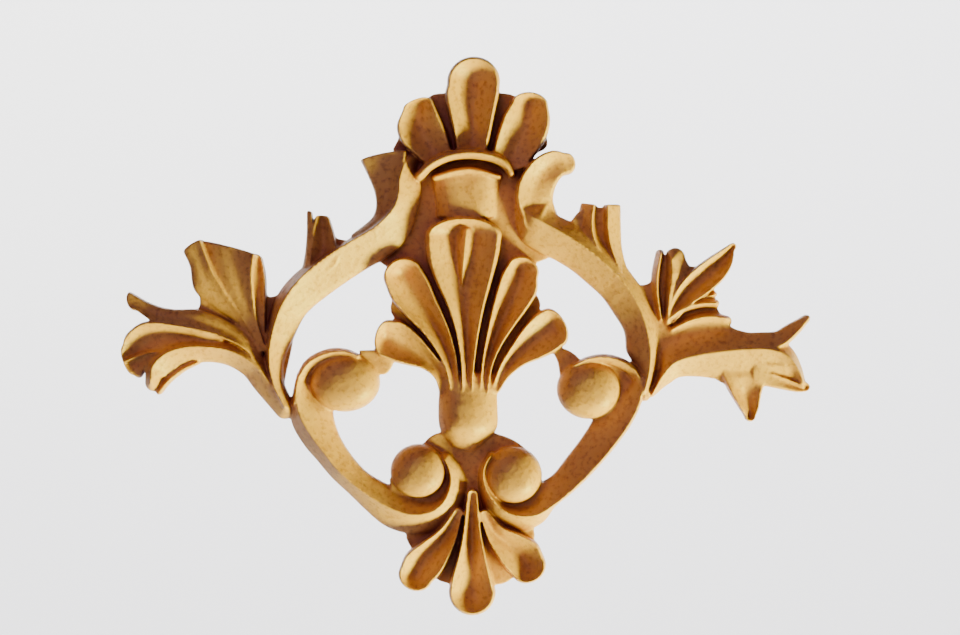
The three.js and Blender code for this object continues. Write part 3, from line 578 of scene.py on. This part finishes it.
def woodPulpMaterial():
    # Pressed wood pulp with a thin satin size: matt body, faint fibre grain, and painted shade darkening
    # its hollows
    material = bpy.data.materials.new("pressedWoodPulp")
    material.use_nodes = True
    tree = material.node_tree
    shader = tree.nodes["Principled BSDF"]
    place = addNode(tree, "TexCoord").outputs["Object"]
    clouds = noise(tree, place, pulp["clumpSize"], 3, 0.6)
    flecks = noise(tree, place, pulp["fleckSize"] * 2, 2)
    waves = noise(tree, place, pulp["waveSize"] * 2, 2)

    # A Mix node on colours takes its share at 0 and its two colours at 6 and 7, and gives output 2
    body = addNode(tree, "Mix", {"data_type": "RGBA", 6: toLinear(pulp["colour"]),
                                 7: toLinear(pulp["paleColour"])}, {0: clouds})
    share = addNode(tree, "MapRange", {"From Min": pulp["fleckRange"][0], "From Max": pulp["fleckRange"][1],
                                       "To Min": 0, "To Max": pulp["fleckShare"]}, {"Value": flecks})
    flecked = addNode(tree, "Mix", {"data_type": "RGBA", 7: toLinear(pulp["fleckColour"])},
                      {0: share.outputs[0], 6: body.outputs[2]})
    # Painted shade: ambient occlusion darkens hollows, creases and corners towards the shade colour
    paintedShadeOcclusion = addNode(tree, "AmbientOcclusion", {"samples": 16, "Distance": pulp["paintedShadeReach"] / 1000})
    depth = addNode(tree, "ValToRGB", {}, {"Fac": paintedShadeOcclusion.outputs["AO"]})
    for stop, position in zip(depth.color_ramp.elements, pulp["paintedShadeRange"]):
        stop.position = position
    shadedColour = addNode(tree, "Mix", {"data_type": "RGBA", 6: toLinear(pulp["paintedShadeColour"])},
                     {0: depth.outputs["Color"], 7: flecked.outputs[2]})

    wavy = bump(tree, pulp["waveStrength"], pulp["waveDepth"], waves)
    grain = bump(tree, pulp["grainStrength"], pulp["grainDepth"], flecks, {"Normal": wavy})
    tree.links.new(shadedColour.outputs[2], shader.inputs["Base Color"])
    tree.links.new(grain, shader.inputs["Normal"])
    shader.inputs["Roughness"].default_value = pulp["roughness"]
    shader.inputs["IOR"].default_value = pulp["ior"]
    return material


applique = pressCasting()
applique.data.materials.clear()
applique.data.materials.append(woodPulpMaterial())
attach(applique, "root")
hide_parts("applique")

studio = {
    "floorDrop": 1.25,        # m below the applique, so that no view from below meets it
    "floorFront": 5,          # m before it
    "wallBack": 1.7,          # m behind it
    "wallHeight": 4,
    "halfWidth": 6,
    "bend": 0.6,              # m, the radius between floor and wall
    "paper": "#F1F1F3",
    "keyPower": 13.4,
    "keyTint": (0.92, 1, 0.16),
    "keySize": 0.3,
    "keyDistance": 1.2,
    "keySpread": 80,          # degrees, a honeycomb that keeps the warm light off the paper
    "keyTurn": -43,           # degrees below the horizontal, seen from the front
    "keyRise": 19,            # degrees out of the plane of the back
    "fillPower": 6,
    "fillTint": (1, 0.5, 0.85),
    "fillSize": 1.4,
    "fillPlace": (-0.5, -1.6, 0.9),
    "backPower": 57,          # each of three lamps that light the paper behind
    "backStep": 1.7,          # m between them
    "backSpread": 96,         # degrees, narrow enough to miss the applique
    "floorPower": 16,         # light on the floor before the applique, for the views from behind
    "floorSpread": 110,
    "paperLampSize": 1.2,
    "roomColour": "#F4F2F0",
    "roomStrength": 0.03,     # what the room adds to the applique
    "roomSeen": 0.75,         # how bright the room looks past the edge of the paper
}


def paperSweep():
    # Pale floor that curves up into a backdrop
    half, bend, floor = studio["halfWidth"], studio["bend"], -studio["floorDrop"]
    start = studio["wallBack"] - bend
    bm = bmesh.new()
    edge = bm.edges.new([bm.verts.new((-half, y, floor)) for y in (-studio["floorFront"], start)])
    grown = bmesh.ops.extrude_edge_only(bm, edges=[edge])["geom"]
    bmesh.ops.translate(bm, vec=(2 * half, 0, 0), verts=vertsOf(grown))
    back = [e for e in bm.edges if all(v.co.y > 0 for v in e.verts)]
    bent = bmesh.ops.spin(bm, geom=back, cent=(0, start, floor + bend), axis=(1, 0, 0),
                          angle=math.pi / 2, steps=16)
    raised = bmesh.ops.extrude_edge_only(bm, edges=edgesOf(bent["geom_last"]))["geom"]
    bmesh.ops.translate(bm, vec=(0, 0, studio["wallHeight"]), verts=vertsOf(raised))
    bmesh.ops.recalc_face_normals(bm, faces=bm.faces)
    mesh = bpy.data.meshes.new("paperSweep")
    bm.to_mesh(mesh)
    bm.free()
    mesh.shade_smooth()
    mesh.materials.append(paperMaterial())
    sweep = bpy.data.objects.new("paper_sweep", mesh)
    bpy.context.scene.collection.objects.link(sweep)
    return sweep


def paperMaterial():
    # Uncoated background paper, quite matt, a little off white
    paper = bpy.data.materials.new("uncoatedPaper")
    paper.use_nodes = True
    shader = paper.node_tree.nodes["Principled BSDF"]
    shader.inputs["Base Color"].default_value = toLinear(studio["paper"])
    shader.inputs["Roughness"].default_value = 0.9
    return paper


def areaLight(name, place, size, power, tint=(1, 1, 1), target=(0, 0, 0), spread=180):
    light = bpy.data.lights.new(name, "AREA")
    light.shape = "DISK"
    light.size = size
    light.energy = power
    light.color = tint
    light.spread = math.radians(spread)
    lamp = bpy.data.objects.new(name, light)
    lamp.location = place
    lamp.rotation_euler = (Vector(target) - Vector(place)).to_track_quat("-Z", "Y").to_euler()
    bpy.context.scene.collection.objects.link(lamp)


paperSweep()
turn, rise = math.radians(studio["keyTurn"]), math.radians(studio["keyRise"])
towards = Vector((math.cos(turn) * math.cos(rise), -math.sin(rise), math.sin(turn) * math.cos(rise)))
areaLight("keyLight", towards * studio["keyDistance"], studio["keySize"], studio["keyPower"],
          studio["keyTint"], spread=studio["keySpread"])
areaLight("fillLight", studio["fillPlace"], studio["fillSize"], studio["fillPower"], studio["fillTint"])
for across in (-studio["backStep"], 0, studio["backStep"]):
    areaLight("backLight", (across, 0.5, 1.6), studio["paperLampSize"], studio["backPower"],
              target=(across, studio["wallBack"], 0.2), spread=studio["backSpread"])
areaLight("floorLight", (0, -2.6, 1.2), studio["paperLampSize"], studio["floorPower"],
          target=(0, -2.8, -studio["floorDrop"]), spread=studio["floorSpread"])
print("studio: paper and lamps in place")

# The room is dim for the applique, and pale where the camera looks past the paper
world = bpy.data.worlds.new("studioAir")
world.use_nodes = True
room = world.node_tree
room.nodes["Background"].inputs["Color"].default_value = toLinear(studio["roomColour"])
seen = addNode(room, "LightPath").outputs["Is Camera Ray"]
strength = addNode(room, "MapRange", {"To Min": studio["roomStrength"], "To Max": studio["roomSeen"]},
                   {"Value": seen})
room.links.new(strength.outputs[0], room.nodes["Background"].inputs["Strength"])
bpy.context.scene.world = world

view = {
    "lens": 135,              # mm
    "sensor": 36,             # mm
    "frameWidth": 0.3079,     # m across the picture at the applique
    "centre": (0.0032, 0.0056),
}
camera = bpy.data.cameras.new("frontCamera")
camera.lens = view["lens"]
camera.sensor_width = view["sensor"]
viewpoint = bpy.data.objects.new("frontCamera", camera)
away = view["frameWidth"] * view["lens"] / view["sensor"]
viewpoint.location = (view["centre"][0], -away, view["centre"][1])
viewpoint.rotation_euler = (math.pi / 2, 0, 0)
bpy.context.scene.collection.objects.link(viewpoint)
bpy.context.scene.camera = viewpoint
